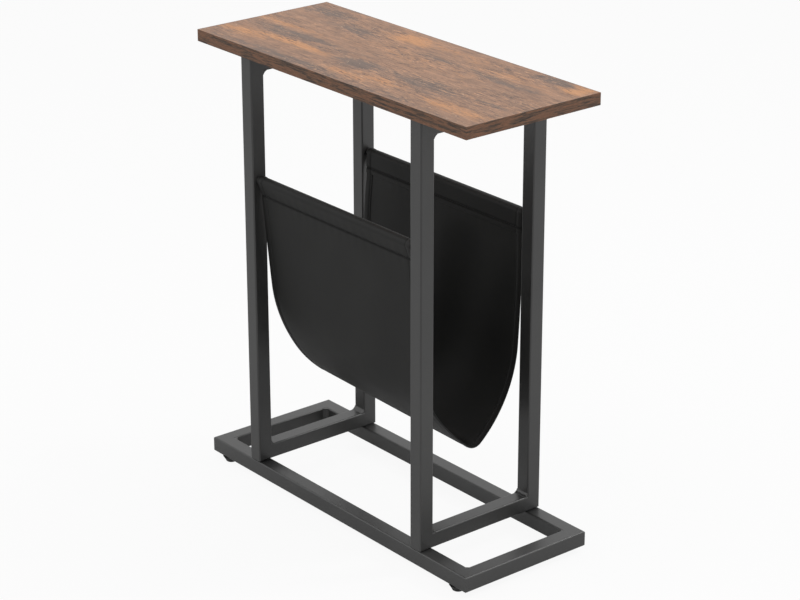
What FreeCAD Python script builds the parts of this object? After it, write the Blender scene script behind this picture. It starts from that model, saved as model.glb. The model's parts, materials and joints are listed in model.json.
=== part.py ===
import FreeCAD, Part
import math
import os

# A narrow side table: a wood-print board on two upright frames of square tube, a flat base frame of the
# same tube on levelling feet, and a cloth sling for magazines hung on two rods between the upright frames.
# Millimetres. +X runs along the board to the right, -Y is the front, +Z is up.
# The origin is on the floor under the middle of the board.

# Tabletop
TOP_LENGTH = 510.0
TOP_WIDTH = 202.0
TOP_THICKNESS = 15.0
TABLE_HEIGHT = 585.0
EDGE_BAND_THICKNESS = 0.8

# Square tube, shared by the upright frames and the base
TUBE_SIDE = 20.0
TUBE_WALL = 1.2
TUBE_EDGE_RADIUS = 2.0
FRAME_WELD_LEG = 4.5
BASE_LEFT_WELD_LEG = 6.0
BASE_RIGHT_WELD_LEG = 2.0
WELD_HOLLOW_SHARE = 0.17
WELD_SINK = 0.4

# How far the frames stand in from the edges of the board, and the base above the floor
FRAME_END_INSET = 83.0
FRAME_SIDE_INSET = 5.0
BASE_CLEAR_HEIGHT = 8.0

# Threaded inserts pulled into the tubes
TUBE_INSERT_WALL = 1.5
TUBE_INSERT_LENGTH = 12.0
TUBE_INSERT_FLANGE_WIDTH = 1.5
TUBE_INSERT_FLANGE_THICKNESS = 1.0
TUBE_INSERT_BULGE_WIDTH = 1.25
TUBE_INSERT_BULGE_LENGTH = 2.5

# Bolts with a domed socket head
BOLT_DIAMETER = 6.0
BOLT_HEAD_RIM_WIDTH = 2.25
BOLT_HEAD_RIM_HEIGHT = 1.1
BOLT_HEAD_HEIGHT = 3.3
BOLT_SOCKET_WIDTH = 4.0
BOLT_SOCKET_DEPTH = 2.0
BOLT_CROWN_MARGIN = 0.7
BOLT_TIP_GAP = 2.0
TOP_BOLT_SPACING = 100.0

# Threaded inserts in the board
BOARD_INSERT_WALL = 1.5
BOARD_INSERT_COVER = 2.4
BOARD_HOLE_SPARE_DEPTH = 0.6

# Levelling feet: a tapered pad moulded on a headed stud
FOOT_INSET = 25.0
FOOT_TOP_DIAMETER = 22.0
FOOT_BOTTOM_DIAMETER = 15.0
FOOT_BOTTOM_ROUND = 2.0
FOOT_RAIL_GAP = 0.4
FOOT_RECESS_GAP = 0.5
FOOT_WEB = 1.2
STUD_DIAMETER = 6.0
STUD_TIP_PROUD = 2.0
STUD_HEAD_RIM_WIDTH = 2.0
STUD_HEAD_THICKNESS = 2.4

# Hanger rods
ROD_DIAMETER = 10.0
ROD_HEIGHT = 412.0
ROD_END_PLAY = 0.8

# Cloth sling; slopes are degrees from the vertical
SLING_THICKNESS = 1.2
SLING_END_GAP = 4.0
SLING_DROP = 285.0
SLING_BOTTOM_SHIFT = 9.6
SLING_BOTTOM_RADIUS = 16.0
SLING_BOTTOM_SLOPE = 50.7
SLING_FRONT_LEAN = 5.3
SLING_BACK_LEAN = 1.8
SLING_FRONT_INSET = 0.0
SLING_BACK_INSET = 5.0
HEM_STITCH_DROP = 18.0
HEM_ALLOWANCE = 7.0

# Clearances, measured on the radius in round fits
SNUG = 0.05
THREAD_CLEARANCE = 0.08
BOLT_CLEARANCE = 0.3
ROD_CLEARANCE = 0.2

# Places and sizes worked out from the values above
BASE_LENGTH = TOP_LENGTH
BASE_WIDTH = TOP_WIDTH - 2 * FRAME_SIDE_INSET
FRAME_OUTER_X = TOP_LENGTH / 2 - FRAME_END_INSET
FRAME_INNER_X = FRAME_OUTER_X - TUBE_SIDE
FRAME_X = FRAME_OUTER_X - TUBE_SIDE / 2
LEG_Y = (BASE_WIDTH - TUBE_SIDE) / 2
FOOT_X = BASE_LENGTH / 2 - FOOT_INSET
BOARD_BOTTOM = TABLE_HEIGHT - TOP_THICKNESS
RAIL_BOTTOM = BASE_CLEAR_HEIGHT
RAIL_TOP = RAIL_BOTTOM + TUBE_SIDE
FRAME_BOTTOM = RAIL_TOP + TUBE_INSERT_FLANGE_THICKNESS
BOARD_INSERT_LENGTH = TOP_THICKNESS - BOARD_INSERT_COVER - BOARD_HOLE_SPARE_DEPTH
TOP_BOLT_LENGTH = TUBE_SIDE + BOARD_INSERT_LENGTH - BOLT_TIP_GAP
FRAME_BOLT_LENGTH = TUBE_SIDE + TUBE_INSERT_FLANGE_THICKNESS + TUBE_INSERT_LENGTH - BOLT_TIP_GAP

LEFT_RIGHT = (("left", -1), ("right", 1))
FRONT_BACK = (("front", -1), ("back", 1))
X_AXIS = FreeCAD.Vector(1, 0, 0)
Y_AXIS = FreeCAD.Vector(0, 1, 0)
Z_AXIS = FreeCAD.Vector(0, 0, 1)


def vector(x, y, z):
    return FreeCAD.Vector(x, y, z)


def save(name, *solids):
    """Writes one node; several solids make a group of separate pieces."""
    shape = solids[0] if len(solids) == 1 else Part.makeCompound(list(solids))
    shape.exportStep("parts/" + name + ".step")


def line(start, end):
    return Part.LineSegment(start, end).toShape()


def arc_about(centre, start, end):
    """An arc of under half a turn."""
    radius = (start - centre).Length
    bisector = ((start - centre) + (end - centre)).normalize()
    return Part.Arc(start, centre + bisector * radius, end).toShape()


def box_between(low, high):
    size = high - low
    return Part.makeBox(size.x, size.y, size.z, low)


def cylinder(diameter, base, length, axis=Z_AXIS):
    return Part.makeCylinder(diameter / 2, length, base, axis)


def prism(points, direction):
    outline = Part.makePolygon(points + [points[0]])
    return Part.Face(outline).extrude(direction)


def turned(edges):
    """A solid of revolution about the Z axis."""
    return Part.Face(Part.Wire(edges)).revolve(vector(0, 0, 0), Z_AXIS, 360)


# Square tube with mitred ends


def rounded_bar(low, high, axis, radius):
    bar = box_between(low, high)
    if radius <= 0:
        return bar
    long_edges = [edge for edge in bar.Edges if abs(edge.tangentAt(edge.FirstParameter).dot(axis)) > 0.99]
    return bar.makeFillet(radius, long_edges)


def tube_bar_and_bore(low, high, axis):
    """The outside and the inside of a square tube that fills the box from low to high along one axis."""
    wall = (vector(1, 1, 1) - axis) * TUBE_WALL
    bar = rounded_bar(low, high, axis, TUBE_EDGE_RADIUS)
    bore = rounded_bar(low + wall, high - wall, axis, TUBE_EDGE_RADIUS - TUBE_WALL)
    return bar, bore


def weld_bead(corner, first, second, run, leg, bars):
    """A hollow fillet in the corner between two tubes, filled back against their rounded edges.

    The corner is where the tubes' flat faces meet; first and second point along those faces, and leg is how
    far the fillet reaches along each.
    """
    start = corner + first * leg
    end = corner + second * leg
    chord_middle = (start + end) * 0.5
    hollow = chord_middle + (corner - chord_middle).normalize() * (leg * WELD_HOLLOW_SHARE)
    into_first = second * -TUBE_EDGE_RADIUS
    into_second = first * -TUBE_EDGE_RADIUS
    outline = [
        line(corner + into_first + into_second, start + into_first),
        line(start + into_first, start),
        Part.Arc(start, hollow, end).toShape(),
        line(end, end + into_second),
        line(end + into_second, corner + into_first + into_second),
    ]
    return Part.Face(Part.Wire(outline)).extrude(run).cut(bars).Solids[0]


def ring_of_tubes(low, high, depth_axis, weld_legs):
    """Four mitred tubes round a rectangle, and the weld beads in its inner corners.

    The rectangle lies square to depth_axis. The tubes come in the order low side and high side along the
    rectangle's first axis, then low side and high side along its second axis. The weld legs are those of the
    low side and the high side along the first axis.
    """
    first, second = [axis for axis in (X_AXIS, Y_AXIS, Z_AXIS) if axis.dot(depth_axis) == 0]

    def corner(at_high_first, at_high_second, inset):
        along_first = high.dot(first) - inset if at_high_first else low.dot(first) + inset
        along_second = high.dot(second) - inset if at_high_second else low.dot(second) + inset
        return first * along_first + second * along_second + depth_axis * low.dot(depth_axis)

    tubes = []
    bars = []
    for axis, ends in ((second, ((0, 0), (0, 1))), (second, ((1, 0), (1, 1))),
                       (first, ((0, 0), (1, 0))), (first, ((0, 1), (1, 1)))):
        outer = [corner(i, j, 0) for i, j in ends]
        inner = [corner(i, j, TUBE_SIDE) for i, j in ends]
        mitred_block = prism([outer[0], outer[1], inner[1], inner[0]], depth_axis * TUBE_SIDE)
        box = mitred_block.BoundBox
        bar, bore = tube_bar_and_bore(vector(box.XMin, box.YMin, box.ZMin),
                                      vector(box.XMax, box.YMax, box.ZMax), axis)
        bars.append(bar.common(mitred_block))
        tubes.append(bar.cut(bore).common(mitred_block).Solids[0])

    beads = []
    for i, first_way in ((0, 1), (1, -1)):
        for j, second_way in ((0, 1), (1, -1)):
            start = corner(i, j, TUBE_SIDE) + depth_axis * WELD_SINK
            beads.append(weld_bead(start, first * first_way, second * second_way,
                                   depth_axis * (TUBE_SIDE - 2 * WELD_SINK), weld_legs[i], bars))
    return tubes, beads


# Fasteners


def bolt(x, y, seat, length):
    """A domed socket-head bolt that points up, with the under side of its head at the height seat."""
    rim = BOLT_DIAMETER / 2 + BOLT_HEAD_RIM_WIDTH
    socket_corner = BOLT_SOCKET_WIDTH / 2 / math.cos(math.radians(30))
    crown = socket_corner + BOLT_CROWN_MARGIN
    corners = [vector(0, 0, 0), vector(rim, 0, 0), vector(rim, 0, -BOLT_HEAD_RIM_HEIGHT),
               vector(crown, 0, -BOLT_HEAD_HEIGHT), vector(0, 0, -BOLT_HEAD_HEIGHT)]
    head = turned([line(a, b) for a, b in zip(corners, corners[1:] + corners[:1])])
    turns = [math.radians(degrees) for degrees in range(0, 360, 60)]
    hexagon = [vector(socket_corner * math.cos(turn), socket_corner * math.sin(turn), -BOLT_HEAD_HEIGHT)
               for turn in turns]
    head = head.cut(prism(hexagon, Z_AXIS * BOLT_SOCKET_DEPTH))
    shank = cylinder(BOLT_DIAMETER, vector(0, 0, 0), length)
    whole = head.fuse(shank).removeSplitter().Solids[0]
    whole.translate(vector(x, y, seat))
    return whole


def bolt_hole(x, y, bottom, top):
    return cylinder(BOLT_DIAMETER + 2 * BOLT_CLEARANCE, vector(x, y, bottom), top - bottom)


def tube_insert_diameter(thread_diameter):
    return thread_diameter + 2 * TUBE_INSERT_WALL


def tube_insert_flange_diameter(thread_diameter):
    return tube_insert_diameter(thread_diameter) + 2 * TUBE_INSERT_FLANGE_WIDTH


def tube_insert(x, y, wall_bottom, thread_diameter):
    """A threaded insert in a tube's lower wall: a flange under the wall and a bulge pulled up above it."""
    body_diameter = tube_insert_diameter(thread_diameter)
    flange_diameter = tube_insert_flange_diameter(thread_diameter)
    flange_bottom = vector(x, y, wall_bottom - TUBE_INSERT_FLANGE_THICKNESS)
    body = cylinder(body_diameter, vector(x, y, wall_bottom), TUBE_INSERT_LENGTH)
    flange = cylinder(flange_diameter, flange_bottom, TUBE_INSERT_FLANGE_THICKNESS)
    bulge = cylinder(body_diameter + 2 * TUBE_INSERT_BULGE_WIDTH, vector(x, y, wall_bottom + TUBE_WALL),
                     TUBE_INSERT_BULGE_LENGTH)
    bore = cylinder(thread_diameter + 2 * THREAD_CLEARANCE, flange_bottom,
                    TUBE_INSERT_FLANGE_THICKNESS + TUBE_INSERT_LENGTH)
    return body.fuse([flange, bulge]).removeSplitter().cut(bore).Solids[0]


def tube_insert_hole(x, y, wall_bottom, thread_diameter):
    return cylinder(tube_insert_diameter(thread_diameter) + 2 * SNUG, vector(x, y, wall_bottom), TUBE_WALL)


def frame_bolt_places():
    return [(x_side * FRAME_X, y_side * LEG_Y) for _, x_side in LEFT_RIGHT for _, y_side in FRONT_BACK]


def top_bolt_places():
    half = TOP_BOLT_SPACING / 2
    return [(x_side * FRAME_X, y_side * half) for _, x_side in LEFT_RIGHT for _, y_side in FRONT_BACK]


def foot_places():
    return [(y_name + "_" + x_name, x_side * FOOT_X, y_side * LEG_Y)
            for y_name, y_side in FRONT_BACK for x_name, x_side in LEFT_RIGHT]


def same_side(value, side):
    return value * side > 0


# Tabletop: board, edge bands, threaded inserts and the bolts that hold it down


def make_board():
    low = vector(-TOP_LENGTH / 2 + EDGE_BAND_THICKNESS, -TOP_WIDTH / 2 + EDGE_BAND_THICKNESS, BOARD_BOTTOM)
    high = vector(TOP_LENGTH / 2 - EDGE_BAND_THICKNESS, TOP_WIDTH / 2 - EDGE_BAND_THICKNESS, TABLE_HEIGHT)
    board = box_between(low, high)
    insert_diameter = BOLT_DIAMETER + 2 * BOARD_INSERT_WALL
    hole_depth = BOARD_INSERT_LENGTH + BOARD_HOLE_SPARE_DEPTH
    inserts = []
    bolts = []
    for x, y in top_bolt_places():
        seat = vector(x, y, BOARD_BOTTOM)
        board = board.cut(cylinder(insert_diameter + 2 * SNUG, seat, hole_depth))
        bore = cylinder(BOLT_DIAMETER + 2 * THREAD_CLEARANCE, seat, BOARD_INSERT_LENGTH)
        inserts.append(cylinder(insert_diameter, seat, BOARD_INSERT_LENGTH).cut(bore))
        bolts.append(bolt(x, y, BOARD_BOTTOM - TUBE_SIDE, TOP_BOLT_LENGTH))
    save("tabletop_board", board)
    save("tabletop_inserts", *inserts)
    save("tabletop_bolts", *bolts)


def make_edge_bands():
    """The long bands run the full length and cover the ends of the short ones."""
    for name, side in FRONT_BACK:
        band = box_between(vector(-TOP_LENGTH / 2, 0, BOARD_BOTTOM),
                           vector(TOP_LENGTH / 2, EDGE_BAND_THICKNESS, TABLE_HEIGHT))
        inner_face = TOP_WIDTH / 2 - EDGE_BAND_THICKNESS
        band.translate(Y_AXIS * (inner_face if side > 0 else -TOP_WIDTH / 2))
        save("edge_band_" + name, band)
    short_end = TOP_WIDTH / 2 - EDGE_BAND_THICKNESS
    for name, side in LEFT_RIGHT:
        band = box_between(vector(0, -short_end, BOARD_BOTTOM),
                           vector(EDGE_BAND_THICKNESS, short_end, TABLE_HEIGHT))
        inner_face = TOP_LENGTH / 2 - EDGE_BAND_THICKNESS
        band.translate(X_AXIS * (inner_face if side > 0 else -TOP_LENGTH / 2))
        save("edge_band_" + name, band)


# Upright end frames and base frame


def make_end_frame(name, x_side):
    low = vector(x_side * FRAME_X - TUBE_SIDE / 2, -BASE_WIDTH / 2, FRAME_BOTTOM)
    high = vector(x_side * FRAME_X + TUBE_SIDE / 2, BASE_WIDTH / 2, BOARD_BOTTOM)
    (front_leg, back_leg, bottom_bar, top_bar), beads = ring_of_tubes(
        low, high, X_AXIS, (FRAME_WELD_LEG, FRAME_WELD_LEG))

    # The rods go through the legs' inner walls and stop short of the outer ones
    for y_name, y_side, leg in (("front", -1, front_leg), ("back", 1, back_leg)):
        mouth = vector(x_side * FRAME_INNER_X, y_side * LEG_Y, ROD_HEIGHT)
        hole = cylinder(ROD_DIAMETER + 2 * ROD_CLEARANCE, mouth, TUBE_WALL, X_AXIS * x_side)
        save(name + "_" + y_name + "_leg", leg.cut(hole).Solids[0])

    for x, y in top_bolt_places():
        if same_side(x, x_side):
            top_bar = top_bar.cut(bolt_hole(x, y, BOARD_BOTTOM - TUBE_SIDE, BOARD_BOTTOM))
    for x, y in frame_bolt_places():
        if same_side(x, x_side):
            bottom_bar = bottom_bar.cut(tube_insert_hole(x, y, FRAME_BOTTOM, BOLT_DIAMETER))
    save(name + "_top_crossbar", top_bar.Solids[0])
    save(name + "_bottom_crossbar", bottom_bar.Solids[0])
    save(name + "_frame_welds", *beads)


def make_base():
    low = vector(-BASE_LENGTH / 2, -BASE_WIDTH / 2, RAIL_BOTTOM)
    high = vector(BASE_LENGTH / 2, BASE_WIDTH / 2, RAIL_TOP)
    (left_rail, right_rail, front_rail, back_rail), beads = ring_of_tubes(
        low, high, Z_AXIS, (BASE_LEFT_WELD_LEG, BASE_RIGHT_WELD_LEG))
    for name, y_side, rail in (("front", -1, front_rail), ("back", 1, back_rail)):
        for x, y in frame_bolt_places():
            if same_side(y, y_side):
                rail = rail.cut(bolt_hole(x, y, RAIL_BOTTOM, RAIL_TOP))
        for _, x, y in foot_places():
            if same_side(y, y_side):
                rail = rail.cut(tube_insert_hole(x, y, RAIL_BOTTOM, STUD_DIAMETER))
        save("base_" + name + "_rail", rail.Solids[0])
    save("base_left_rail", left_rail)
    save("base_right_rail", right_rail)
    save("base_frame_welds", *beads)


def make_frame_bolts():
    places = frame_bolt_places()
    save("frame_bolts", *[bolt(x, y, RAIL_BOTTOM, FRAME_BOLT_LENGTH) for x, y in places])
    save("frame_bolt_inserts", *[tube_insert(x, y, FRAME_BOTTOM, BOLT_DIAMETER) for x, y in places])


# Levelling feet


def make_feet():
    inserts = []
    for name, x, y in foot_places():
        pad = foot_pad()
        stud = foot_stud()
        for piece in (pad, stud):
            piece.translate(vector(x, y, 0))
        save(name + "_foot_pad", pad)
        save(name + "_foot_stud", stud)
        inserts.append(tube_insert(x, y, RAIL_BOTTOM, STUD_DIAMETER))
    save("foot_inserts", *inserts)


def foot_recess_floor():
    return RAIL_BOTTOM - TUBE_INSERT_FLANGE_THICKNESS - FOOT_RECESS_GAP


def stud_head_bottom():
    return foot_recess_floor() - FOOT_WEB - STUD_HEAD_THICKNESS


def foot_pad():
    """A tapered round pad, with a recess for the insert's flange and a pocket round the stud's head."""
    top = RAIL_BOTTOM - FOOT_RAIL_GAP
    side_bottom = vector(FOOT_BOTTOM_DIAMETER / 2, 0, FOOT_BOTTOM_ROUND)
    flat_edge = vector(FOOT_BOTTOM_DIAMETER / 2 - FOOT_BOTTOM_ROUND, 0, 0)
    side_top = vector(FOOT_TOP_DIAMETER / 2, 0, top)
    pad = turned([
        line(vector(0, 0, top), vector(0, 0, 0)),
        line(vector(0, 0, 0), flat_edge),
        arc_about(flat_edge + Z_AXIS * FOOT_BOTTOM_ROUND, flat_edge, side_bottom),
        line(side_bottom, side_top),
        line(side_top, vector(0, 0, top)),
    ])
    recess_diameter = tube_insert_flange_diameter(STUD_DIAMETER) + 2 * FOOT_RECESS_GAP
    head_diameter = STUD_DIAMETER + 2 * STUD_HEAD_RIM_WIDTH
    recess = cylinder(recess_diameter, vector(0, 0, foot_recess_floor()), RAIL_BOTTOM)
    shaft_hole = cylinder(STUD_DIAMETER + 2 * SNUG, vector(0, 0, stud_head_bottom()), RAIL_BOTTOM)
    head_pocket = cylinder(head_diameter + 2 * SNUG, vector(0, 0, stud_head_bottom() - SNUG),
                           STUD_HEAD_THICKNESS + 2 * SNUG)
    return pad.cut([recess, shaft_hole, head_pocket]).Solids[0]


def foot_stud():
    bottom = vector(0, 0, stud_head_bottom())
    head = cylinder(STUD_DIAMETER + 2 * STUD_HEAD_RIM_WIDTH, bottom, STUD_HEAD_THICKNESS)
    shaft = cylinder(STUD_DIAMETER, bottom, RAIL_BOTTOM + TUBE_INSERT_LENGTH + STUD_TIP_PROUD - bottom.z)
    return head.fuse(shaft).removeSplitter().Solids[0]


# Hanger rods and cloth sling


def make_hanger_rods():
    reach = FRAME_OUTER_X - TUBE_WALL - ROD_END_PLAY
    for name, y_side in FRONT_BACK:
        rod = cylinder(ROD_DIAMETER, vector(-reach, y_side * LEG_Y, ROD_HEIGHT), 2 * reach, X_AXIS)
        save(name + "_hanger_rod", rod)


def cloth_normal(slope):
    """The outward normal of cloth that runs in under itself by slope degrees, in (outward, up)."""
    return vector(math.cos(math.radians(slope)), -math.sin(math.radians(slope)), 0)


def cloth_descent(slope):
    return vector(-math.sin(math.radians(slope)), -math.cos(math.radians(slope)), 0)


def tangent_point(centre, radius, point, way):
    """Where the line up from a point below a circle touches its outward side (way 1) or inward side (-1)."""
    to_point = point - centre
    angle = math.atan2(to_point.y, to_point.x) + way * math.acos(radius / to_point.Length)
    return centre + vector(math.cos(angle), math.sin(angle), 0) * radius


class SlingSide:
    """The front or back half of the sling's section, worked out in (outward, up) coordinates.

    The cloth wraps the rod and closes on a line of stitches under it. From there its middle line runs
    straight down, and turns in along one long bend to the bottom bend that both halves share.
    """

    def __init__(self, y_side, lean, inset):
        self.y_side = y_side
        self.lean = lean
        self.rod = vector(LEG_Y, ROD_HEIGHT, 0)
        self.stitch = self.rod - vector(inset, HEM_STITCH_DROP, 0)
        self.wrap_radius = ROD_DIAMETER / 2 + ROD_CLEARANCE + SLING_THICKNESS / 2
        self.bottom_centre = vector(y_side * SLING_BOTTOM_SHIFT,
                                    ROD_HEIGHT - SLING_DROP + SLING_BOTTOM_RADIUS, 0)
        self.solve_run_and_bend()

    def solve_run_and_bend(self):
        """Finds the straight run and the bend radius that lead from the stitches to the bottom bend."""
        start = cloth_normal(self.lean)
        end = cloth_normal(SLING_BOTTOM_SLOPE)
        descent = cloth_descent(self.lean)
        turn = end - start
        way = self.bottom_centre + end * SLING_BOTTOM_RADIUS - self.stitch
        determinant = descent.x * turn.y - descent.y * turn.x
        self.run = (way.x * turn.y - way.y * turn.x) / determinant
        self.bend_radius = (descent.x * way.y - descent.y * way.x) / determinant
        self.bend_centre = self.stitch - start * self.bend_radius + descent * self.run

    def place(self, point):
        return vector(FRAME_INNER_X - SLING_END_GAP, self.y_side * point.x, point.y)

    def on_run(self, offset, distance):
        """A point beside the straight run, offset outward from the cloth's middle."""
        return self.stitch + cloth_normal(self.lean) * offset + cloth_descent(self.lean) * distance

    def on_bend(self, offset, slope):
        return self.bend_centre + cloth_normal(slope) * (self.bend_radius + offset)

    def line(self, start, end):
        return line(self.place(start), self.place(end))

    def arc(self, centre, start, end):
        return arc_about(self.place(centre), self.place(start), self.place(end))

    def loop(self, radius, outer_end, inner_end):
        """From outer_end up over the rod and down to inner_end: two straight sides and two arcs."""
        top = self.rod + vector(0, radius, 0)
        outer_touch = tangent_point(self.rod, radius, outer_end, 1)
        inner_touch = tangent_point(self.rod, radius, inner_end, -1)
        return [
            self.line(outer_end, outer_touch),
            self.arc(self.rod, outer_touch, top),
            self.arc(self.rod, top, inner_touch),
            self.line(inner_touch, inner_end),
        ]

    def bend(self, offset):
        return self.arc(self.bend_centre, self.on_bend(offset, self.lean),
                        self.on_bend(offset, SLING_BOTTOM_SLOPE))

    def outline(self):
        """The cloth's faces from the bottom bend up the outside, round the hem and down the inside."""
        half = SLING_THICKNESS / 2
        hem_face = -half - SLING_THICKNESS
        outer_stitch = self.on_run(half, 0)
        inner_stitch = self.on_run(hem_face, 0)
        hem_end = self.on_run(hem_face, HEM_ALLOWANCE)
        hem_foot = self.on_run(-half, HEM_ALLOWANCE)
        return [
            self.bend(half),
            self.line(self.on_bend(half, self.lean), outer_stitch),
            *self.loop(self.wrap_radius + half, outer_stitch, inner_stitch),
            self.line(inner_stitch, hem_end),
            self.line(hem_end, hem_foot),
            self.line(hem_foot, self.on_bend(-half, self.lean)),
            self.bend(-half),
        ]

    def tunnel(self):
        """The drop-shaped hole that the rod runs through."""
        half = SLING_THICKNESS / 2
        between_layers = self.on_run(-half, 0)
        return Part.Wire(self.loop(self.wrap_radius - half, between_layers, between_layers))

    def cloth_length(self):
        """The length cut for this half: hem with its loop, run, bend and half of the bottom bend."""
        to_rod = (self.stitch - self.rod).Length
        open_turn = 2 * math.acos(self.wrap_radius / to_rod)
        loop_sides = 2 * math.sqrt(to_rod ** 2 - self.wrap_radius ** 2)
        hem = HEM_ALLOWANCE + loop_sides + self.wrap_radius * (2 * math.pi - open_turn)
        bend = self.bend_radius * math.radians(SLING_BOTTOM_SLOPE - self.lean)
        bottom = SLING_BOTTOM_RADIUS * math.radians(90 - SLING_BOTTOM_SLOPE)
        return hem + self.run + bend + bottom


def make_sling():
    front = SlingSide(-1, SLING_FRONT_LEAN, SLING_FRONT_INSET)
    back = SlingSide(1, SLING_BACK_LEAN, SLING_BACK_INSET)
    half = SLING_THICKNESS / 2
    edges = front.outline() + back.outline()
    for offset in (half, -half):
        edges.append(arc_about(front.place(front.bottom_centre),
                               front.place(front.on_bend(offset, SLING_BOTTOM_SLOPE)),
                               back.place(back.on_bend(offset, SLING_BOTTOM_SLOPE))))
    outline = Part.Wire(Part.__sortEdges__(edges))
    section = Part.Face([outline, front.tunnel(), back.tunnel()])
    width = 2 * (FRAME_INNER_X - SLING_END_GAP)
    save("sling", section.extrude(-X_AXIS * width))
    length = front.cloth_length() + back.cloth_length()
    print("sling cut", round(width, 1), "wide and", round(length, 1), "long")


os.makedirs("parts", exist_ok=True)
make_board()
make_edge_bands()
for frame_name, frame_side in LEFT_RIGHT:
    make_end_frame(frame_name, frame_side)
make_base()
make_frame_bolts()
make_feet()
make_hanger_rods()
make_sling()
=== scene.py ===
import json
import math

import bpy
import numpy as np
from mathutils import Matrix, Vector

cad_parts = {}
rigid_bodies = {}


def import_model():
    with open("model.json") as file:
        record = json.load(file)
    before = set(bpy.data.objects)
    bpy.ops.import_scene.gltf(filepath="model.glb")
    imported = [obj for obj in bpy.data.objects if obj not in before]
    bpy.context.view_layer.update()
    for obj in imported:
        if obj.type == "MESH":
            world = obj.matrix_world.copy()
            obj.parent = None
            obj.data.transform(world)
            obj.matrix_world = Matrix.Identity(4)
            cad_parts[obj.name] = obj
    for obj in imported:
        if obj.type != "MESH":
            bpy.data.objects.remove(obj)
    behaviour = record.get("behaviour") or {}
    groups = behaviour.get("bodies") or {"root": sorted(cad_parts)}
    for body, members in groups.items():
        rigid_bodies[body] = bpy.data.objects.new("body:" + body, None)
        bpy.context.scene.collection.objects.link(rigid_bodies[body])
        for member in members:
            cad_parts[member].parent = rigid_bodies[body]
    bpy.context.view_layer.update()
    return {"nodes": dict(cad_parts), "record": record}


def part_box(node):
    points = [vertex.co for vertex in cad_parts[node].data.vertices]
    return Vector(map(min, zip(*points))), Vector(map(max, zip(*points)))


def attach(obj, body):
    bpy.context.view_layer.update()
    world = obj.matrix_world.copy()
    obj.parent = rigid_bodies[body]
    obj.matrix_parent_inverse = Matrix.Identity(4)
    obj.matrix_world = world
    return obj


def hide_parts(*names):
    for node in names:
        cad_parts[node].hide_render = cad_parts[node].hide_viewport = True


# Looks for the narrow side table: finishes on the CAD pieces, the sewn cloth sling, light and camera.
# Metres, in the CAD frame: +X to the right along the board, -Y to the front, +Z up.

# Sling, hung as the solid is; slopes are degrees from the vertical
SLING_LAYERS = 0.0012
CLOTH = SLING_LAYERS / 2
SLING_ROD_CLEARANCE = 0.0002
SLING_DROP = 0.285
SLING_BOTTOM_SHIFT = 0.0096
SLING_BOTTOM_RADIUS = 0.016
SLING_BOTTOM_SLOPE = 50.7
SLING_FRONT_LEAN = 5.3
SLING_BACK_LEAN = 1.8
SLING_FRONT_INSET = 0.0
SLING_BACK_INSET = 0.005
HEM_STITCH_DROP = 0.018
HEM_ALLOWANCE = 0.007
SIDE_HEM = 0.011
SIDE_STITCH_INSET = 0.009

# How the cloth gives: the bottom bows and rises to the left end, the side edges curl in and their hems
# puff up, the stitching dents and puckers the panels, and the right end hangs fuller than the left
BOTTOM_BOW = 0.0015
LEFT_END_RISE = 0.007
EDGE_CURL = 0.0006
EDGE_CURL_WIDTH = 0.020
SIDE_HEM_PUFF = 0.0005
HEM_TO_PANEL = 0.040
HEM_DENT = 0.0008
SIDE_DENT = 0.0003
DENT_WIDTH = 0.0014
# Painted shade along the stitches: its width, and its strength down the side hems as a share of that on the
# hems
SEAM_SHADE_WIDTH = 0.0023
SIDE_SEAM_SHADE = 0.35
PUCKER_HEIGHT = 0.00022
PUCKER_LENGTH = 0.016
PUCKER_REACH = 0.009
# Slow waves down the panels, a long one and a shorter one over it; phases are in radians, and leans, by
# which the waves slant on their way down, in radians for each metre
FRONT_WAVE = 0.0007
BACK_WAVE = 0.0016
FRONT_WAVE_PHASE = -1.1
BACK_WAVE_PHASE = -1.8
WAVE_LENGTH = 0.19
WAVE_LEAN = 9.0
SHORT_WAVE_SHARE = 0.5
SHORT_WAVE_LENGTH = 0.57 * WAVE_LENGTH
SHORT_WAVE_PHASE_SHARE = -2.1
SHORT_WAVE_LEAN = 14.0
WAVE_FADE = 0.09
WAVE_EDGE_POWER = 4
# Spacing of the cloth's rows of points, near hems and on the open panels
FINE_STEP = 0.0009
COARSE_STEP = 0.0035
# Points across the cloth: on a side hem's inner layer, its fold, its outer layer, and the open panel
HEM_INSIDE_COLUMNS = 16
FOLD_COLUMNS = 7
HEM_OUTSIDE_COLUMNS = 32
PANEL_COLUMNS = 66
# Fullness of each panel: at its middle, more at the right end, depth below the hem, and reach
FRONT_FULLNESS = (0.0011, 0.0029, 0.195, 0.060)
BACK_FULLNESS = (-0.0004, 0.0031, 0.090, 0.075)

# Thread
STITCH_PITCH = 0.0040
STITCH_LENGTH = 0.0029
STITCH_WIDTH = 0.00055
STITCH_SIDES = 6
# Rings of one stitch: place along it, share of its width, and sink as a share of half its width
STITCH_RINGS = ((-0.5, 0.35, -0.4), (-0.25, 1.0, 0.0), (0.25, 1.0, 0.0), (0.5, 0.35, -0.4))
# Step by which the cloth's directions are felt at a stitch
STITCH_FEEL = 0.0002

# Board edges
BAND_BEVEL = 0.0003
BAND_BEVEL_SEGMENTS = 2

# Camera, at the photograph's viewing angle and with no shift
IMAGE_WIDTH = 800
FOCAL_PIXELS = 2502.24
SENSOR_WIDTH = 36.0
CAMERA_AT = Vector((2.2240, -1.8033, 1.4276))
CAMERA_RIGHT = Vector((0.63311, 0.77406, -0.00147))
CAMERA_UP = Vector((-0.28773, 0.23709, 0.92790))

# Light and surroundings
WHITE = (1, 1, 1, 1)
AMBIENT = 0.42
FLOOR_SIZE = 16.0
FLOOR_COLOUR = (0.85, 0.85, 0.85, 1.0)
FLOOR_ROUGHNESS = 0.9
FLOOR_WHITENESS = 0.92
FLOOR_MIRRORED_WHITENESS = 0.15
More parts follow.
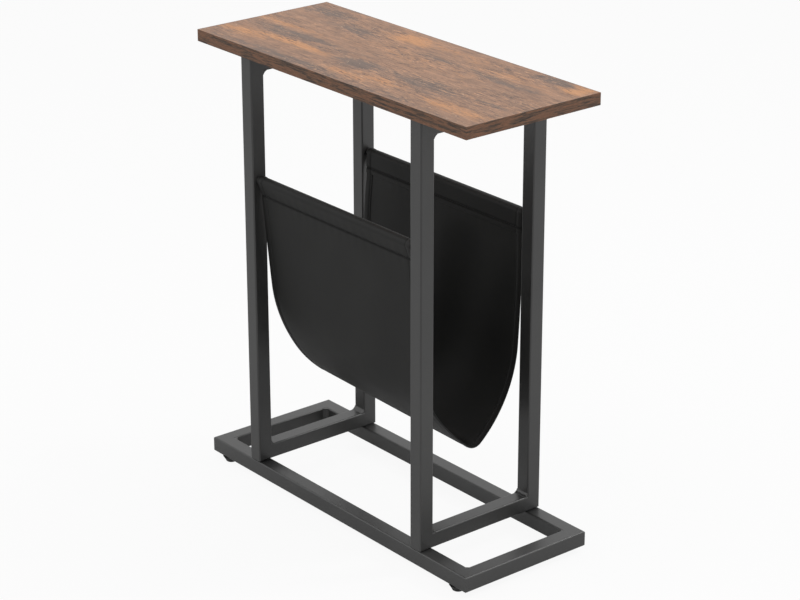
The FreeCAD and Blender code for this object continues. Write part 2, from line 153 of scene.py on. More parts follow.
# Softboxes: name, place, the point they aim at, width, height, and power in watts
SOFTBOXES = (
    ("overhead", (-0.1, 0.0, 3.2), (0, 0, 0.3), 3.5, 3.0, 33.5),
    ("front_left", (-1.4, -2.0, 1.8), (0, 0, 0.45), 1.2, 1.4, 10.2),
    ("back", (1.05, 1.70, 2.10), (0, 0, 0.2), 0.45, 0.45, 15.0),
    ("right", (2.10, 1.60, 0.95), (0, 0, 0.35), 1.0, 1.0, 5.5),
)

# Noise runs from about the first of these values to the second
NOISE_SPAN = (0.3, 0.7)
UNSTRETCHED = (1, 1, 1)


# Node helpers


def node(tree, kind, inputs=None, **properties):
    """Adds one shader node; inputs are values, or sockets to link from."""
    made = tree.nodes.new(kind)
    for name, value in properties.items():
        setattr(made, name, value)
    for name, value in (inputs or {}).items():
        if isinstance(value, bpy.types.NodeSocket):
            tree.links.new(value, made.inputs[name])
        else:
            made.inputs[name].default_value = value
    return made


def new_material(name):
    material = bpy.data.materials.new(name)
    material.use_nodes = True
    tree = material.node_tree
    shader = tree.nodes["Principled BSDF"]
    return material, tree, shader


def srgb(red, green, blue):
    """A colour given in 8-bit screen values, as the linear colour that shaders take."""
    def linear(value):
        share = value / 255
        return share / 12.92 if share <= 0.04045 else ((share + 0.055) / 1.055) ** 2.4
    return (linear(red), linear(green), linear(blue), 1.0)


def ramp(tree, factor, stops):
    made = node(tree, "ShaderNodeValToRGB", {"Fac": factor})
    elements = made.color_ramp.elements
    while len(elements) < len(stops):
        elements.new(0.5)
    for element, (place, colour) in zip(elements, stops):
        element.position = place
        element.color = colour
    return made.outputs["Color"]


def object_place(tree, stretch):
    """Places in the piece's own frame, with each axis multiplied by its stretch."""
    place = node(tree, "ShaderNodeTexCoord")
    mapping = node(tree, "ShaderNodeMapping", {"Vector": place.outputs["Object"], "Scale": stretch})
    return mapping.outputs["Vector"]


def noise(tree, place, scale=1.0, detail=3.0, roughness=0.55, distortion=0.0):
    made = node(tree, "ShaderNodeTexNoise", {
        "Vector": place,
        "Scale": scale,
        "Detail": detail,
        "Roughness": roughness,
        "Distortion": distortion,
    })
    return made.outputs["Fac"]


def mix(tree, factor, first, second):
    made = node(tree, "ShaderNodeMix", data_type="RGBA")
    for socket, value in ((made.inputs[0], factor), (made.inputs[6], first), (made.inputs[7], second)):
        if isinstance(value, bpy.types.NodeSocket):
            tree.links.new(value, socket)
        else:
            socket.default_value = value
    return made.outputs[2]


def between(tree, value, low, high, to_low=0.0, to_high=1.0):
    made = node(tree, "ShaderNodeMapRange", {
        "Value": value, "From Min": low, "From Max": high, "To Min": to_low, "To Max": to_high})
    return made.outputs["Result"]


def math_node(tree, operation, first, second):
    made = node(tree, "ShaderNodeMath", operation=operation)
    for socket, value in zip(made.inputs, (first, second)):
        if isinstance(value, bpy.types.NodeSocket):
            tree.links.new(value, socket)
        else:
            socket.default_value = value
    return made.outputs["Value"]


def vector_math(tree, operation, *vectors):
    return node(tree, "ShaderNodeVectorMath", dict(enumerate(vectors)), operation=operation).outputs


def bump(tree, shader, height, strength, distance):
    made = node(tree, "ShaderNodeBump", {"Height": height, "Strength": strength, "Distance": distance})
    tree.links.new(made.outputs["Normal"], shader.inputs["Normal"])


def grey(value):
    return (value, value, value, 1.0)


def two_tone(tree, pattern, dark, light, span=NOISE_SPAN):
    return ramp(tree, pattern, ((span[0], dark), (span[1], light)))


def stain_and_shade(tree, colour, pattern, low, high, strength, stain_colour):
    """Mixes in a colour, up to its strength, as a pattern goes from low to high: real stains, and on the
    sling painted shade along the seams.
    """
    return mix(tree, between(tree, pattern, low, high, 0.0, strength), colour, stain_colour)


def vary_roughness(tree, shader, pattern, low, high):
    tree.links.new(between(tree, pattern, *NOISE_SPAN, low, high), shader.inputs["Roughness"])


# Materials


def powder_coat():
    """Charcoal powder coat: matte, with a fine grainy texture and faint clouding."""
    material, tree, shader = new_material("powder_coat")
    place = object_place(tree, UNSTRETCHED)
    clouds = noise(tree, place, scale=9, detail=4)
    colour = two_tone(tree, clouds, dark=grey(0.025), light=(0.035, 0.035, 0.034, 1))
    tree.links.new(colour, shader.inputs["Base Color"])
    vary_roughness(tree, shader, clouds, 0.34, 0.42)
    shader.inputs["Specular IOR Level"].default_value = 0.68
    grain = noise(tree, place, scale=1400, detail=2)
    bump(tree, shader, grain, strength=0.16, distance=0.0003)
    return material


# Where the board's print turns orange or grey: middle x and y, half length and half width, strength
WARM_PATCHES = (
    (-0.128, -0.046, 0.075, 0.012, 1.0),
    (-0.215, -0.060, 0.045, 0.013, 0.8),
    (-0.050, 0.075, 0.045, 0.018, 1.0),
    (0.232, 0.083, 0.026, 0.016, 1.0),
    (0.035, 0.078, 0.080, 0.010, 0.5),
    (-0.200, -0.002, 0.080, 0.008, 0.6),
    (0.060, -0.062, 0.045, 0.012, 0.6),
    (0.010, -0.076, 0.050, 0.009, 0.7),
    (0.195, -0.068, 0.070, 0.012, 0.7),
    (0.010, 0.030, 0.140, 0.028, 0.35),
    (0.150, 0.060, 0.090, 0.014, 0.45),
)
GREY_PATCHES = (
    (-0.210, 0.070, 0.040, 0.016, 1.0),
    (-0.120, 0.047, 0.060, 0.013, 0.8),
    (-0.160, -0.022, 0.100, 0.013, 0.9),
    (-0.012, -0.040, 0.050, 0.018, 1.0),
    (0.105, -0.034, 0.080, 0.017, 0.8),
    (0.040, 0.044, 0.060, 0.009, 0.7),
    (0.155, 0.041, 0.060, 0.009, 0.8),
    (0.192, 0.090, 0.030, 0.012, 0.9),
    (-0.080, -0.092, 0.190, 0.009, 0.7),
    (0.120, -0.096, 0.150, 0.006, 0.5),
    (0.215, -0.026, 0.035, 0.010, 0.7),
)
# How far from its middle a patch begins to show and is full, in shares of its half length and half width
PATCH_RIM = 1.5
PATCH_CORE = 0.2
# How much the strokes break a patch up, and between which sums of patch and strokes its colour sets in
PATCH_FRAY = 2.6
PATCH_SET_IN = (0.25, 0.75)
# How far places on the board are shaken, along and across it
BOARD_SHAKE = (0.09, 0.03, 0)
# Layers of the board's print: waves of noise for each metre along the board, across it and up
BOARD_WANDER = (14, 60, 1)
BOARD_CLUSTERS = (9, 40, 1)
BOARD_MOTTLE = (24, 130, 1)
BOARD_STROKES = (52, 330, 1)
BOARD_CRACKS = (70, 420, 1)
BOARD_GRAIN = (22, 900, 1)
BOARD_PORES = (120, 1500, 1)
BOARD_SPECKS = (210, 520, 1)
# The same for the edge bands, along X, along Y and up
EDGE_STREAKS = (34, 34, 430)
EDGE_FINE = (60, 60, 1600)


def patches(tree, place, spots):
    """The strongest of some soft ellipses at each place on the board, from 0 to 1."""
    total = None
    for x, y, half_length, half_width, strength in spots:
        from_middle = vector_math(tree, "SUBTRACT", place, (x, y, 0))["Vector"]
        shares = vector_math(tree, "MULTIPLY", from_middle, (1 / half_length, 1 / half_width, 0))["Vector"]
        distance = vector_math(tree, "LENGTH", shares)["Value"]
        spot = between(tree, distance, PATCH_RIM, PATCH_CORE, 0.0, strength)
        total = spot if total is None else math_node(tree, "MAXIMUM", total, spot)
    return total


def frayed(tree, share, strokes):
    """A soft patch broken up by strokes, so that its outline frays along the grain."""
    shift = math_node(tree, "MULTIPLY", math_node(tree, "SUBTRACT", strokes, 0.5), PATCH_FRAY)
    return between(tree, math_node(tree, "ADD", share, shift), *PATCH_SET_IN)


def shaken_place(tree):
    """Places on the board, shaken a little so that no patch keeps a plain outline."""
    wander = node(tree, "ShaderNodeTexNoise", {
        "Vector": object_place(tree, BOARD_WANDER), "Scale": 1.0, "Detail": 5.0, "Roughness": 0.6})
    shake = vector_math(tree, "SUBTRACT", wander.outputs["Color"], (0.5, 0.5, 0.5))["Vector"]
    scaled = vector_math(tree, "MULTIPLY", shake, BOARD_SHAKE)["Vector"]
    return vector_math(tree, "ADD", object_place(tree, UNSTRETCHED), scaled)["Vector"]


def board_print():
    """A worn brown wood print: frayed orange and grey patches, short strokes, fine grain, pale specks."""
    material, tree, shader = new_material("board_print")

    # Patches of colour, with outlines frayed by the strokes
    place = shaken_place(tree)
    strokes = noise(tree, object_place(tree, BOARD_STROKES), detail=6, roughness=0.75, distortion=0.4)
    warm = frayed(tree, patches(tree, place, WARM_PATCHES), strokes)
    faded = frayed(tree, patches(tree, place, GREY_PATCHES), strokes)
    mottle = noise(tree, object_place(tree, BOARD_MOTTLE), detail=6, roughness=0.78)
    colour = two_tone(tree, mottle, dark=srgb(124, 94, 75), light=srgb(177, 133, 103), span=(0.36, 0.64))
    colour = mix(tree, warm, colour, srgb(202, 143, 94))
    colour = mix(tree, faded, colour, srgb(108, 89, 78))

    # Short ragged strokes along the board, in clusters, dark ones and pale ones
    clusters = noise(tree, object_place(tree, BOARD_CLUSTERS), detail=4)
    clusters = between(tree, clusters, 0.40, 0.60, 0.2, 1.0)
    cracks = noise(tree, object_place(tree, BOARD_CRACKS), detail=5, roughness=0.75, distortion=0.8)
    dark = math_node(tree, "MULTIPLY", clusters, between(tree, cracks, 0.54, 0.60, 0.0, 0.9))
    colour = mix(tree, dark, colour, srgb(66, 49, 41))
    pale = math_node(tree, "MULTIPLY", clusters, between(tree, cracks, 0.45, 0.38, 0.0, 0.8))
    colour = mix(tree, pale, colour, srgb(212, 160, 120))

    # Fine lengthwise grain, darker pores and a few pale specks
    grain = noise(tree, object_place(tree, BOARD_GRAIN), detail=4, roughness=0.7)
    colour = stain_and_shade(tree, colour, grain, 0.35, 0.75, 0.25, srgb(108, 84, 70))
    pores = noise(tree, object_place(tree, BOARD_PORES), detail=2)
    colour = stain_and_shade(tree, colour, pores, 0.68, 0.74, 0.5, srgb(74, 58, 50))
    specks = noise(tree, object_place(tree, BOARD_SPECKS), detail=1)
    colour = stain_and_shade(tree, colour, specks, 0.72, 0.76, 0.6, srgb(210, 182, 156))
    tree.links.new(colour, shader.inputs["Base Color"])
    vary_roughness(tree, shader, grain, 0.42, 0.56)
    shader.inputs["Specular IOR Level"].default_value = 0.4
    bump(tree, shader, grain, strength=0.18, distance=0.0002)
    return material


def edge_print():
    """The darker red-brown print of the edge bands, streaked along each band."""
    material, tree, shader = new_material("edge_print")
    streaks = noise(tree, object_place(tree, EDGE_STREAKS), detail=5, roughness=0.75, distortion=0.5)
    colour = ramp(tree, streaks, (
        (0.34, srgb(44, 33, 27)),
        (0.46, srgb(84, 65, 51)),
        (0.56, srgb(136, 95, 70)),
        (0.68, srgb(66, 49, 39)),
    ))
    fine = noise(tree, object_place(tree, EDGE_FINE), detail=3)
    colour = stain_and_shade(tree, colour, fine, 0.5, 0.75, 0.45, srgb(60, 44, 36))
    tree.links.new(colour, shader.inputs["Base Color"])
    vary_roughness(tree, shader, streaks, 0.45, 0.58)
    shader.inputs["Specular IOR Level"].default_value = 0.35
    bump(tree, shader, fine, strength=0.12, distance=0.0002)
    return material


# Bands of thread in the cloth's weave: the wave texture's scale for lengths in metres
WEAVE_SCALE = 260.0


def woven_cloth():
    """Black plain-weave synthetic: two crossing sets of threads, set by the cloth's own lengths."""
    material, tree, shader = new_material("sling_fabric")
    lengths = node(tree, "ShaderNodeUVMap", uv_map="cloth").outputs["UV"]
    threads = []
    for direction in ("X", "Y"):
        wave = node(tree, "ShaderNodeTexWave", {
            "Vector": lengths, "Scale": WEAVE_SCALE, "Distortion": 0.6, "Detail": 1.0},
            wave_type="BANDS", bands_direction=direction)
        threads.append(wave.outputs["Fac"])
    weave = math_node(tree, "MULTIPLY", threads[0], threads[1])
    clouds = noise(tree, object_place(tree, UNSTRETCHED), scale=14)
    colour = two_tone(tree, clouds, dark=(0.0105, 0.0105, 0.0098, 1), light=(0.0150, 0.0150, 0.0140, 1))
    colour = stain_and_shade(tree, colour, weave, 1.0, 0.0, 0.35, grey(0.006))
    # Painted shade along the lines of stitches: the colour is darkened there as if shaded in their creases,
    # and the roughness is raised
    seam_painted_shade = node(tree, "ShaderNodeAttribute", attribute_name="seam_painted_shade").outputs["Fac"]
    colour = stain_and_shade(tree, colour, seam_painted_shade, 0.0, 1.0, 0.75, grey(0.002))
    tree.links.new(colour, shader.inputs["Base Color"])
    roughness = between(tree, clouds, *NOISE_SPAN, 0.54, 0.62)
    seam_roughness = between(tree, seam_painted_shade, 0.0, 1.0, 0.54, 0.9)
    roughness = math_node(tree, "MAXIMUM", roughness, seam_roughness)
    tree.links.new(roughness, shader.inputs["Roughness"])
    shader.inputs["Specular IOR Level"].default_value = 0.235
    bump(tree, shader, weave, strength=0.25, distance=0.0002)
    return material


def sewing_thread():
    material, tree, shader = new_material("sewing_thread")
    twist = noise(tree, object_place(tree, UNSTRETCHED), scale=2600, detail=1)
    colour = two_tone(tree, twist, dark=grey(0.012), light=grey(0.030), span=(0.35, 0.65))
    tree.links.new(colour, shader.inputs["Base Color"])
    shader.inputs["Roughness"].default_value = 0.6
    bump(tree, shader, twist, strength=0.2, distance=0.0001)
    return material


def moulded_plastic():
    material, tree, shader = new_material("foot_plastic")
    place = object_place(tree, UNSTRETCHED)
    colour = two_tone(tree, noise(tree, place, scale=60), dark=grey(0.010), light=grey(0.016))
    tree.links.new(colour, shader.inputs["Base Color"])
    fine = noise(tree, place, scale=1800, detail=2)
    vary_roughness(tree, shader, fine, 0.48, 0.6)
    bump(tree, shader, fine, strength=0.12, distance=0.0002)
    return material


def zinc_plate():
    material, tree, shader = new_material("zinc_steel")
    place = object_place(tree, UNSTRETCHED)
    spangle = node(tree, "ShaderNodeTexVoronoi", {"Vector": place, "Scale": 700.0}).outputs["Distance"]
    colour = two_tone(
        tree, spangle, dark=(0.46, 0.47, 0.48, 1), light=(0.60, 0.61, 0.62, 1), span=(0.1, 0.7))
    tree.links.new(colour, shader.inputs["Base Color"])
    shader.inputs["Metallic"].default_value = 1.0
    vary_roughness(tree, shader, noise(tree, place, scale=300), 0.30, 0.45)
    return material


def dress_cad_nodes(frame):
    finishes = {
        "board": board_print(),
        "edge_band": edge_print(),
        "powder_coat": powder_coat(),
        "zinc_steel": zinc_plate(),
        "foot_plastic": moulded_plastic(),
        "sling_fabric": woven_cloth(),
    }
    for subpart in frame["record"]["subparts"]:
        piece = frame["nodes"][subpart["node"]]
        piece.data.materials.clear()
        piece.data.materials.append(finishes[subpart["material_slot"]])
        if subpart["material_slot"] in ("board", "edge_band"):
            edge = piece.modifiers.new("softened_edges", "BEVEL")
            edge.width = BAND_BEVEL
            edge.segments = BAND_BEVEL_SEGMENTS
            edge.limit_method = "ANGLE"
    return finishes


# Sling: the path that the cloth follows, from the front hem's end over the rods to the back hem's end


def normal_at(slope):
    """The outward normal of cloth that runs in under itself by slope degrees, in (outward, up)."""
    return np.array((math.cos(math.radians(slope)), -math.sin(math.radians(slope))))


def descent_at(slope):
    return np.array((-math.sin(math.radians(slope)), -math.cos(math.radians(slope))))


def line_points(start, end, step):
    count = max(2, math.ceil(np.linalg.norm(end - start) / step) + 1)
    return [start + (end - start) * share for share in np.linspace(0, 1, count)]


def arc_points(centre, radius, from_angle, to_angle, step):
    count = max(3, math.ceil(abs(to_angle - from_angle) * radius / step) + 1)
    angles = np.linspace(from_angle, to_angle, count)
    return [centre + radius * np.array((math.cos(angle), math.sin(angle))) for angle in angles]


def touch_angle(centre, radius, point, way):
    """The angle at which the line up from a point touches a circle, outward (way 1) or inward (-1)."""
    to_point = point - centre
    return math.atan2(to_point[1], to_point[0]) + way * math.acos(radius / np.linalg.norm(to_point))


def half_path(rod, rod_radius, bottom_shift, lean, inset):
    """One half of the section, in (outward, up), from the hem's end inside the pocket to the bottom.

    Gives its points, their lengths along it, and the lengths at which the hem's two rows of stitches are.
    """
    wrap = rod_radius + SLING_ROD_CLEARANCE + SLING_LAYERS / 2
    stitch = rod - np.array((inset, HEM_STITCH_DROP))
    start, end, descent = normal_at(lean), normal_at(SLING_BOTTOM_SLOPE), descent_at(lean)
    bottom = np.array((bottom_shift, rod[1] - SLING_DROP + SLING_BOTTOM_RADIUS))
    way = bottom + end * SLING_BOTTOM_RADIUS - stitch
    run, bend_radius = np.linalg.solve(np.stack((descent, end - start), axis=1), way)
    bend = stitch - start * bend_radius + descent * run

    def on_run(offset, distance):
        return stitch + start * offset + descent * distance

    inner_stitch = on_run(-SLING_LAYERS, 0)
    inner_touch = touch_angle(rod, wrap, inner_stitch, -1) % (2 * math.pi)
    outer_touch = touch_angle(rod, wrap, stitch, 1)
    loop = arc_points(rod, wrap, inner_touch, outer_touch, FINE_STEP)
    stretches = [
        line_points(on_run(-SLING_LAYERS, HEM_ALLOWANCE), inner_stitch, FINE_STEP),
        line_points(inner_stitch, loop[0], FINE_STEP),
        loop,
        line_points(loop[-1], stitch, FINE_STEP),
        line_points(stitch, on_run(0, PUCKER_REACH), FINE_STEP),
        line_points(on_run(0, PUCKER_REACH), on_run(0, run), COARSE_STEP),
        arc_points(bend, bend_radius, -math.radians(lean), -math.radians(SLING_BOTTOM_SLOPE), COARSE_STEP),
        arc_points(bottom, SLING_BOTTOM_RADIUS, -math.radians(SLING_BOTTOM_SLOPE), -math.pi / 2, FINE_STEP),
    ]
    points = [stretches[0][0]]
    ends = []
    for stretch in stretches:
        points += stretch[1:]
        ends.append(len(points) - 1)
    points = np.array(points)
    along = np.concatenate(([0], np.cumsum(np.linalg.norm(np.diff(points, axis=0), axis=1))))
    return points, along, along[ends[0]], along[ends[3]]


def smooth_share(value, low, high):
    share = np.clip((value - low) / (high - low), 0, 1)
    return share * share * (3 - 2 * share)


class SlingPath:
    """The whole section in (y, z): points, outward normals, lengths along the cloth, rows of stitches."""

    def __init__(self):
        low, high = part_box("front_hanger_rod")
        rod = np.array((-(low.y + high.y) / 2, (low.z + high.z) / 2))
        rod_radius = (high.z - low.z) / 2
        front, front_along, front_inner, front_outer = half_path(
            rod, rod_radius, -SLING_BOTTOM_SHIFT, SLING_FRONT_LEAN, SLING_FRONT_INSET)
        back, back_along, back_inner, back_outer = half_path(
            rod, rod_radius, SLING_BOTTOM_SHIFT, SLING_BACK_LEAN, SLING_BACK_INSET)
        front = front * np.array((-1, 1))
        self.points = np.concatenate((front, back[-2::-1]))
        self.length = front_along[-1] + back_along[-1]
        self.along = np.concatenate((front_along, (self.length - back_along)[-2::-1]))
        tangents = np.gradient(self.points, self.along, axis=0)
        tangents /= np.linalg.norm(tangents, axis=1)[:, None]
        self.normals = np.stack((tangents[:, 1], -tangents[:, 0]), axis=1)
        self.outer_rows = (front_outer, self.length - back_outer)
        self.inner_rows = (front_inner, self.length - back_inner)
        self.bottom = front_along[-1]


class SlingCloth:
    """The hung cloth as a grid: rows along the path, columns across, with the side hems folded in."""

    def __init__(self, path):
        self.path = path
        low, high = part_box("sling")
        self.half_width = (high.x - low.x) / 2
        self.across = self.columns()

    def columns(self):
        """Across the cloth: place on X, offset from the section's middle line, length on the flat cloth."""
        layer = CLOTH / 2
        fold_start = self.half_width - CLOTH
        hem_start = self.half_width - SIDE_HEM
        near_edge = self.half_width - 2 * SIDE_HEM
        fold = [(fold_start + layer * math.cos(turn), layer * math.sin(turn))
                for turn in np.linspace(-math.pi / 2, math.pi / 2, FOLD_COLUMNS)]
        inside = [(x, -layer) for x in np.linspace(hem_start, fold_start, HEM_INSIDE_COLUMNS)[:-1]]
        outside = [(x, layer) for x in np.linspace(fold_start, near_edge, HEM_OUTSIDE_COLUMNS)[1:]]
        right = inside + fold + outside
        middle = [(x, layer) for x in np.linspace(near_edge, -near_edge, PANEL_COLUMNS)[1:-1]]
        left = [(-x, offset) for x, offset in right[::-1]]
        columns = np.array(right + middle + left)
        steps = np.linalg.norm(np.diff(columns, axis=0), axis=1)
        return columns, np.concatenate(([0], np.cumsum(steps)))

    def painted_seam_shade_mask(self, along, x):
        """Painted shade for the cloth's colour: 1 on a hem's line of stitches, less on those down the
        sides, falling to 0 beside them.
        """
        path = self.path
        from_side_row = np.abs(x) - (self.half_width - SIDE_STITCH_INSET)
        shade = SIDE_SEAM_SHADE * np.exp(-(from_side_row / SEAM_SHADE_WIDTH) ** 2)
        for row in (*path.outer_rows, *path.inner_rows):
            shade = np.maximum(shade, np.exp(-((along - row) / SEAM_SHADE_WIDTH) ** 2))
        return shade

    def drape(self, along, below, x):
        """Slow waves down the panels, curled side edges and the fuller right end."""
        front = along < self.path.bottom
        share = x / self.half_width
        from_hem = smooth_share(below, 0, HEM_TO_PANEL)
        from_bottom = smooth_share(np.abs(along - self.path.bottom), 0, WAVE_FADE)
        phase = np.where(front, FRONT_WAVE_PHASE, BACK_WAVE_PHASE)
        short_phase = SHORT_WAVE_PHASE_SHARE * phase
        waves = np.sin(2 * math.pi * x / WAVE_LENGTH + phase + WAVE_LEAN * below)
        short_waves = np.sin(2 * math.pi * x / SHORT_WAVE_LENGTH + short_phase + SHORT_WAVE_LEAN * below)
        waves = waves + SHORT_WAVE_SHARE * short_waves
        waves = waves * np.where(front, FRONT_WAVE, BACK_WAVE) * (1 - share ** WAVE_EDGE_POWER)
        middle, more_right, depth, reach = (
            np.where(front, *both) for both in zip(FRONT_FULLNESS, BACK_FULLNESS))
        fullness = (middle + more_right * share) * np.exp(-((below - depth) / reach) ** 2)
        from_edge = np.abs(x) - (self.half_width - EDGE_CURL_WIDTH)
        curl = EDGE_CURL * np.clip(from_edge / EDGE_CURL_WIDTH, 0, 1) ** 2
        return from_hem * (from_bottom * (waves + fullness) - curl)

    def sewing(self, along, below, x, layer):
        """Dents along the stitches, puckers beside the hems and puffed side hems.

        The layer is 1 outside and -1 inside. Both layers of a hem dent the same way: in at the front,
        out at the back.
        """
        path = self.path
        puckers = np.sin(2 * math.pi * x / PUCKER_LENGTH) * np.exp(-np.abs(below) / PUCKER_REACH)
        total = PUCKER_HEIGHT * puckers
        for rows, way in ((path.outer_rows, 1), (path.inner_rows, -1)):
            for row, side in zip(rows, (-1, 1)):
                total = total + way * side * HEM_DENT * np.exp(-((along - row) / DENT_WIDTH) ** 2)
        from_row = np.abs(x) - (self.half_width - SIDE_STITCH_INSET)
        total = total - SIDE_DENT * layer * np.exp(-(from_row / DENT_WIDTH) ** 2)
        hem_share = np.clip(from_row / SIDE_STITCH_INSET, 0, 1)
        return total + SIDE_HEM_PUFF * layer * np.sin(math.pi * hem_share)

    def places(self, along, x, offset):
        """Points of the hung cloth, at an offset outward from the section's middle line."""
        path = self.path
        y, z = (np.interp(along, path.along, path.points[:, i]) for i in (0, 1))
        normal_y, normal_z = (np.interp(along, path.along, path.normals[:, i]) for i in (0, 1))
        below = np.minimum(along - path.outer_rows[0], path.outer_rows[1] - along)
        out = offset + self.drape(along, below, x) + self.sewing(along, below, x, np.sign(offset))
        depth = smooth_share(below, HEM_TO_PANEL, path.bottom - path.outer_rows[0])
        share = x / self.half_width
        lift = BOTTOM_BOW * (1 - share ** 2) + LEFT_END_RISE * ((1 - share) / 2) ** 2
        return np.stack((x, y + normal_y * out, z + normal_z * out + depth * lift), axis=-1)

    def mesh(self):
        (columns, widths), path = self.across, self.path
        along, x = np.meshgrid(path.along, columns[:, 0], indexing="ij")
        offset = np.broadcast_to(columns[:, 1], along.shape)
        points = self.places(along, x, offset)
        rows, count = along.shape
        index = np.arange(rows * count).reshape(rows, count)
        corners_of_quads = (index[:-1, :-1], index[:-1, 1:], index[1:, 1:], index[1:, :-1])
        quads = np.stack(corners_of_quads, axis=-1).reshape(-1, 4)
        mesh = bpy.data.meshes.new("sling_cloth")
        mesh.from_pydata(points.reshape(-1, 3).tolist(), [], quads.tolist())
        lengths = np.stack((np.broadcast_to(widths, along.shape), along), axis=-1).reshape(-1, 2)
        corners = np.empty(len(mesh.loops), dtype=np.int32)
        mesh.loops.foreach_get("vertex_index", corners)
        mesh.uv_layers.new(name="cloth").data.foreach_set("uv", lengths[corners].ravel())
        # Painted shade along the stitches, kept on the points for the cloth's colour
        shade = mesh.attributes.new("seam_painted_shade", "FLOAT", "POINT")
        shade.data.foreach_set("value", self.painted_seam_shade_mask(along, x).ravel())
        mesh.shade_smooth()
        mesh.update()
        return mesh


# Stitching


def add_stitch(points, faces, middle, along, out):
    """Adds one stitch to a list of points and faces: a short thread that dips at both ends."""
    side = np.cross(out, along)
    half = STITCH_WIDTH / 2
    first_ring = len(points)
    for place, share, sink in STITCH_RINGS:
        centre = middle + along * (place * STITCH_LENGTH) + out * (sink * half)
        for turn in np.linspace(0, 2 * math.pi, STITCH_SIDES, endpoint=False):
            points.append(centre + (side * math.cos(turn) + out * math.sin(turn)) * (half * share))
    last_ring = len(points) - STITCH_SIDES
    for ring in range(first_ring, last_ring, STITCH_SIDES):
        for corner in range(STITCH_SIDES):
            here = ring + corner
            beside = ring + (corner + 1) % STITCH_SIDES
            faces.append((here, beside, beside + STITCH_SIDES, here + STITCH_SIDES))
    faces.append(tuple(reversed(range(first_ring, first_ring + STITCH_SIDES))))
    faces.append(tuple(range(last_ring, last_ring + STITCH_SIDES)))


def stitching(cloth):
    """Rows along both hems, and down both side hems on the outside and in the pocket."""
    path = cloth.path
    points, faces = [], []

    def sew(along, x, offset, facing):
        """Where a stitch lies, and the cloth's directions there: down it, across it and out of it."""
        here = cloth.places(np.array(along), np.array(x), np.array(offset))
        ahead = cloth.places(np.array(along) + STITCH_FEEL, np.array(x), np.array(offset))
        beside = cloth.places(np.array(along), np.array(x) + STITCH_FEEL, np.array(offset))
        down = (ahead - here) / np.linalg.norm(ahead - here)
        over = (beside - here) / np.linalg.norm(beside - here)
        out = np.cross(down, over) * facing
        return here, down, over, out / np.linalg.norm(out)

    reach = cloth.half_width - SIDE_STITCH_INSET
    for row in (*path.outer_rows, *path.inner_rows):
        for x in np.arange(-reach, reach, STITCH_PITCH):
            middle, _, over, out = sew(row, x, CLOTH, 1)
            add_stitch(points, faces, middle, over, out)
    for x in (-reach, reach):
        for along in np.arange(path.outer_rows[0], path.outer_rows[1], STITCH_PITCH):
            for offset, facing in ((CLOTH, 1), (-CLOTH, -1)):
                middle, down, _, out = sew(along, x, offset, facing)
                add_stitch(points, faces, middle, down, out)
    mesh = bpy.data.meshes.new("sling_stitching")
    mesh.from_pydata([tuple(point) for point in points], [], faces)
    mesh.shade_smooth()
    return mesh


def link_piece(name, mesh, material):
    piece = bpy.data.objects.new(name, mesh)
    bpy.context.scene.collection.objects.link(piece)
    mesh.materials.append(material)
    return piece


def make_sling(fabric):
    cloth = SlingCloth(SlingPath())
    sling = link_piece("sling_cloth", cloth.mesh(), fabric)
    thickness = sling.modifiers.new("cloth_thickness", "SOLIDIFY")
    thickness.thickness = CLOTH
    thickness.offset = 0
    thread = link_piece("sling_stitching", stitching(cloth), sewing_thread())
    for piece in (sling, thread):
        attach(piece, "table")
    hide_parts("sling")


# Stage: floor, light and camera


def seen_white(tree, seen_share, mirrored_share):
    """The share of white in the background: one for rays seen direct, one for mirrored rays, else 0."""
    path = node(tree, "ShaderNodeLightPath")
    seen = math_node(tree, "MAXIMUM", path.outputs["Is Camera Ray"], path.outputs["Is Transmission Ray"])
    seen = math_node(tree, "MULTIPLY", seen, seen_share)
    mirrored = math_node(tree, "MULTIPLY", path.outputs["Is Glossy Ray"], mirrored_share)
    return math_node(tree, "MAXIMUM", seen, mirrored)


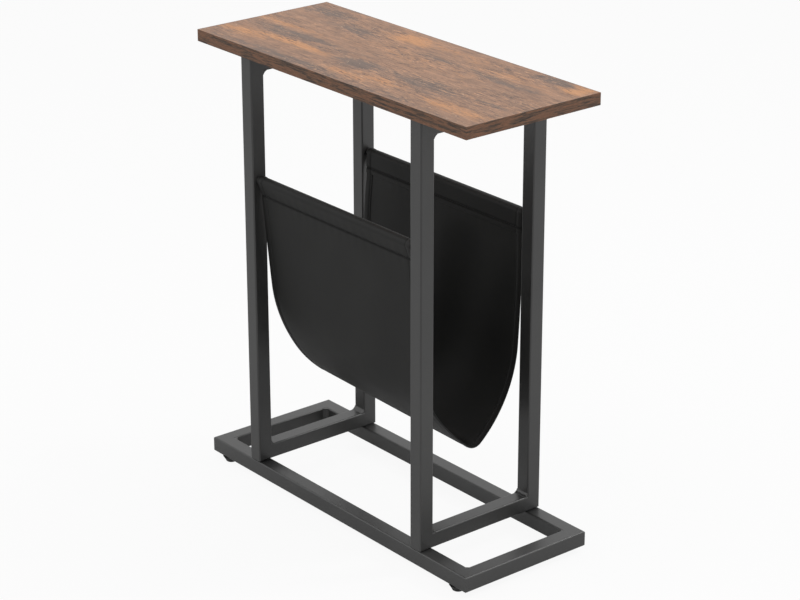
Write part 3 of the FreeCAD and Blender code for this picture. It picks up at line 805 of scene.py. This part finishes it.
def make_floor():
    half = FLOOR_SIZE / 2
    mesh = bpy.data.meshes.new("floor")
    corners = [(-half, -half, 0), (half, -half, 0), (half, half, 0), (-half, half, 0)]
    mesh.from_pydata(corners, [], [(0, 1, 2, 3)])
    material, tree, shader = new_material("floor_white")
    shader.inputs["Base Color"].default_value = FLOOR_COLOUR
    shader.inputs["Roughness"].default_value = FLOOR_ROUGHNESS
    shader.inputs["Specular IOR Level"].default_value = 0.0
    white = node(tree, "ShaderNodeEmission", {"Color": WHITE, "Strength": 1.0})
    share = seen_white(tree, FLOOR_WHITENESS, FLOOR_MIRRORED_WHITENESS)
    both = node(tree, "ShaderNodeMixShader", {
        0: share, 1: shader.outputs["BSDF"], 2: white.outputs["Emission"]})
    tree.links.new(both.outputs["Shader"], tree.nodes["Material Output"].inputs["Surface"])
    floor = link_piece("floor", mesh, material)


def make_world():
    world = bpy.data.worlds.new("studio")
    bpy.context.scene.world = world
    world.use_nodes = True
    tree = world.node_tree
    fill = tree.nodes["Background"]
    fill.inputs["Color"].default_value = WHITE
    fill.inputs["Strength"].default_value = AMBIENT
    white = node(tree, "ShaderNodeBackground", {"Color": WHITE, "Strength": 1.0})
    both = node(tree, "ShaderNodeMixShader", {
        0: seen_white(tree, 1.0, 1.0), 1: fill.outputs["Background"], 2: white.outputs["Background"]})
    tree.links.new(both.outputs["Shader"], tree.nodes["World Output"].inputs["Surface"])


def softbox(name, place, target, width, height, power):
    light = bpy.data.lights.new(name, "AREA")
    light.shape = "RECTANGLE"
    light.size = width
    light.size_y = height
    light.energy = power
    lamp = bpy.data.objects.new(name, light)
    bpy.context.scene.collection.objects.link(lamp)
    lamp.location = place
    lamp.rotation_mode = "QUATERNION"
    lamp.rotation_quaternion = (Vector(target) - Vector(place)).to_track_quat("-Z", "Y")


def make_lights():
    for box in SOFTBOXES:
        softbox(*box)


def make_camera():
    data = bpy.data.cameras.new("camera")
    data.sensor_width = SENSOR_WIDTH
    data.lens = FOCAL_PIXELS / IMAGE_WIDTH * SENSOR_WIDTH
    camera = bpy.data.objects.new("camera", data)
    bpy.context.scene.collection.objects.link(camera)
    back = CAMERA_RIGHT.cross(CAMERA_UP)
    turn = Matrix((CAMERA_RIGHT, CAMERA_UP, back)).transposed().to_4x4()
    camera.matrix_world = Matrix.Translation(CAMERA_AT) @ turn
    bpy.context.scene.camera = camera


for default in list(bpy.data.objects):
    bpy.data.objects.remove(default)
bpy.context.scene.view_settings.view_transform = "Standard"
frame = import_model()
finishes = dress_cad_nodes(frame)
make_sling(finishes["sling_fabric"])
make_floor()
make_world()
make_lights()
make_camera()
